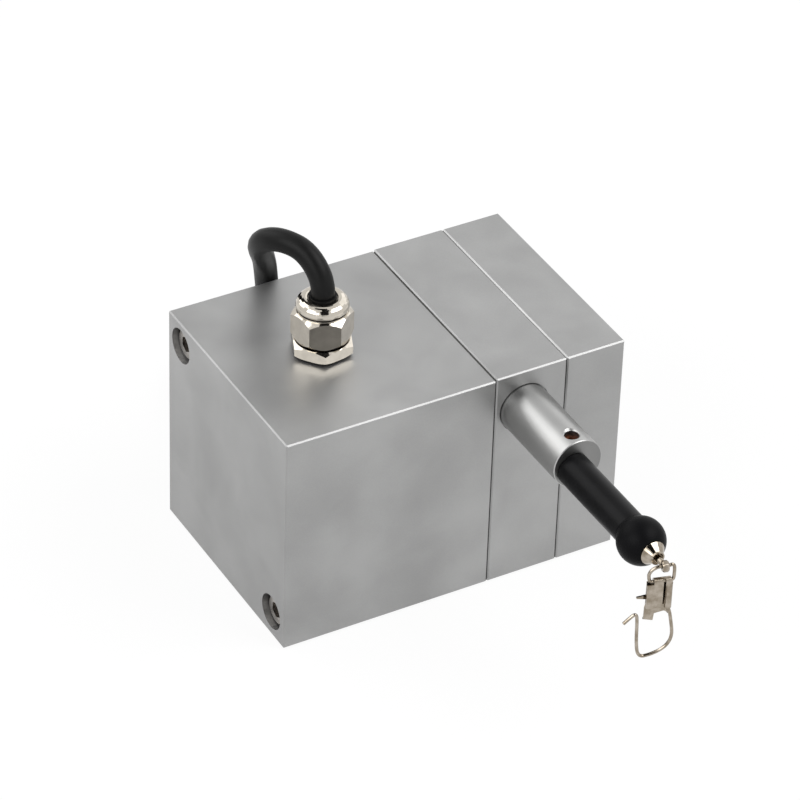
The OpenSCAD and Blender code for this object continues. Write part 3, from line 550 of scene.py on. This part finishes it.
lead_pieces = []
for number, finish in enumerate(LEADS):
    turn = math.radians(18 + 360 / len(LEADS) * number)
    start = Vector(TAIL[-1]) + LEAD_CIRCLE_R * Vector((0, math.cos(turn), math.sin(turn)))
    rise, fan = math.radians(LEAD_FAN * math.sin(turn)), math.radians(LEAD_FAN * math.cos(turn))
    direction = Vector((math.cos(rise) * math.cos(fan), math.cos(rise) * math.sin(fan), math.sin(rise)))
    insulation = straight_line(start, direction, 0.0, LEAD_END, 8)
    lead_pieces.append(sweep("lead_%d" % number, insulation, LEAD_R * MM, finish))
    tip = straight_line(start, direction, LEAD_TIP_BEGIN, LEAD_TIP_END, 6)
    lead_pieces.append(sweep("lead_tip_%d" % number, tip, LEAD_TIP_R * MM, FINISHES["wire_steel"]))
for piece in lead_pieces:
    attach(piece, "housing")
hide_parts("cable_leads")


# ---------- draw wire ----------

# From the drum to the ferrule, in millimetres along the way that the wire comes out.
WIRE_R, WIRE_BEGIN, WIRE_END, WIRE_STEPS = 0.4, 0.3, 96.1, 240

wire_line = straight_line(Vector((WIRE_X, 0, WIRE_Z)), Vector((0, -1, 0)), WIRE_BEGIN, WIRE_END, WIRE_STEPS)
draw_rope = sweep("draw_rope", wire_line, WIRE_R * MM, ROPE, sides=18, start_normal=(0, 0, 1))
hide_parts("draw_wire")
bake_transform(draw_rope)


# ---------- snap ----------

# The snap hangs from its swivel, turned about the upright. Its lines are places across it and
# up it, in millimetres.
SNAP = Matrix.Translation(Vector((WIRE_X, -103.3, WIRE_Z)) * MM) @ Matrix.Rotation(math.radians(-16), 4, "Z")
SNAP_WIRE_R, SNAP_WIRE_LENGTH = 0.45, 62.0
BOW = [
    (1.4, -5.8), (1.4, -12.4), (1.65, -13.4), (2.1, -14.8), (2.55, -17.4), (2.95, -20),
    (3.1, -22), (2.7, -23.9), (1.7, -25.5), (0, -26.75), (-2.1, -27.52),
]  # fmt: skip
GATE = [
    (-2.9, -27.68), (-4.3, -27.9), (-5.25, -27.1), (-5.7, -25.4), (-5.95, -22.4), (-6.05, -19),
    (-6.15, -15.6), (-6.5, -14.2), (-7.3, -14.4), (-9.6, -16.7),
]  # fmt: skip
LINK = [
    (1, 0.05), (1.7, 0.45), (2.35, 0), (2.5, -1.2), (2.5, -2.6), (2.45, -3.9), (2.15, -4.4), (1.8, -4.4),
    (0, -4.4), (-2.7, -4.4), (-3.3, -4.4), (-3.75, -4), (-3.95, -3), (-4, -2), (-3.4, -0.8), (-2, 0.05),
    (-1, 0.05),
]  # fmt: skip


def in_snap(across, up):
    return SNAP @ (Vector((across, 0, up)) * MM)


def bent_wire(name, places, radius, closed=False, passes=3):
    """A plated wire bent along the places. Each pass cuts each corner off in two, as the CAD part does."""
    line = [in_snap(across, up) for across, up in places]
    for _ in range(passes):
        after = line[1:] + line[:1] if closed else line[1:]
        cut = [a.lerp(b, share) for a, b in zip(line, after) for share in (0.25, 0.75)]
        line = cut if closed else [line[0], *cut, line[-1]]
    side = SNAP.to_3x3() @ Vector((0, 1, 0))
    return sweep(name, line, radius, FINISHES["snap_nickel"], 20, closed, start_normal=side)


snap_wire = bent_wire("snap_wire", BOW + GATE, rounded_ends(SNAP_WIRE_R * MM, SNAP_WIRE_LENGTH * MM))
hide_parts("snap_bow", "snap_gate")
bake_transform(snap_wire)

link_wire = bent_wire("link_wire", LINK, SNAP_WIRE_R * MM, closed=True)
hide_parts("wire_link")
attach(link_wire, "link")


# ---------- room and light ----------

FLOOR_SIDE, FLOOR_DROP = 6, 0.0002
# How much of the floor's look is plain white, for the camera and through glass, and in the metal.
FLOOR_WHITE, FLOOR_MIRRORED = 0.9, 0.5
# The world's strength as light on the part, and as the background that is seen.
WORLD_LIGHT, WORLD_WHITE = 0.45, 1.0


def face_along(piece, direction):
    """Turns a panel or lamp so that its own Z runs in this direction."""
    piece.rotation_mode = "QUATERNION"
    piece.rotation_quaternion = direction.to_track_quat("Z", "Y")


def flat_panel(name, width, depth, location):
    mesh = bpy.data.meshes.new(name)
    w, d = width / 2, depth / 2
    mesh.from_pydata([(-w, -d, 0), (w, -d, 0), (w, d, 0), (-w, d, 0)], [], [(0, 1, 2, 3)])
    panel = bpy.data.objects.new(name, mesh)
    bpy.context.scene.collection.objects.link(panel)
    panel.location = location
    return panel


def floor_finish():
    """White paper that keeps the part's soft shadow, fainter for the camera than in the metal."""
    f = Finish("floor_white")
    paper = f.make("ShaderNodeBsdfDiffuse", {}, {"Color": (0.9, 0.9, 0.9)})
    glow = f.make("ShaderNodeEmission", {}, {"Color": (1.0, 1.0, 1.0), "Strength": 1.0})
    seen = f.ray("Camera") + f.ray("Transmission")
    share = seen * FLOOR_WHITE + f.ray("Glossy") * FLOOR_MIRRORED
    return f.show(f.make("ShaderNodeMixShader", {}, {0: share, 1: paper, 2: glow}))


def dark_screen(name, width, depth, location, target=(0, -0.03, 0.05)):
    """A black studio screen that only polished metal sees."""
    screen = flat_panel(name, width, depth, location)
    face_along(screen, Vector(target) - Vector(location))
    black = Finish(name).surface(Base_Color=(0.02, 0.02, 0.02), Roughness=0.9, Specular_IOR_Level=0.0)
    screen.data.materials.append(black)
    screen.visible_camera = False
    screen.visible_diffuse = False
    screen.visible_shadow = False
    screen.visible_transmission = False


def area_light(name, location, size, power, target=(0, -0.02, 0.03)):
    lamp = bpy.data.lights.new(name, "AREA")
    lamp.shape = "RECTANGLE"
    lamp.size, lamp.size_y = size
    lamp.energy = power
    light = bpy.data.objects.new(name, lamp)
    bpy.context.scene.collection.objects.link(light)
    light.location = location
    face_along(light, Vector(location) - Vector(target))


def studio_world():
    """An even white room, less strong as light on the part than where it is seen."""
    f = Shading(bpy.data.worlds.new("studio"), "ShaderNodeOutputWorld")
    seen = f.maths("MAXIMUM", f.maths("MAXIMUM", f.ray("Camera"), f.ray("Glossy")), f.ray("Transmission"))
    strength = seen.ramp(0.0, 1.0, WORLD_LIGHT, WORLD_WHITE)
    return f.show(f.make("ShaderNodeBackground", {}, {"Color": (1.0, 1.0, 1.0), "Strength": strength}))


floor = flat_panel("floor", FLOOR_SIDE, FLOOR_SIDE, (0, 0, -FLOOR_DROP))
floor.data.materials.append(floor_finish())

dark_screen("front_screen", 0.7, 1.3, (-0.33, -0.98, 0.95))
dark_screen("top_screen", 0.45, 0.9, (0.0, -0.05, 1.35))

area_light("left_softbox", (-1.15, -0.35, 0.85), (1.25, 0.9), 11)
area_light("right_softbox", (0.8, -0.62, 1.2), (1.2, 0.9), 14)
area_light("back_softbox", (-0.55, 0.81, 0.8), (0.85, 0.9), 3.7)
area_light("side_softbox", (1.15, 0.5, 0.75), (1.1, 1.0), 2.2)

bpy.context.scene.world = studio_world()
bpy.context.scene.view_settings.view_transform = "Standard"
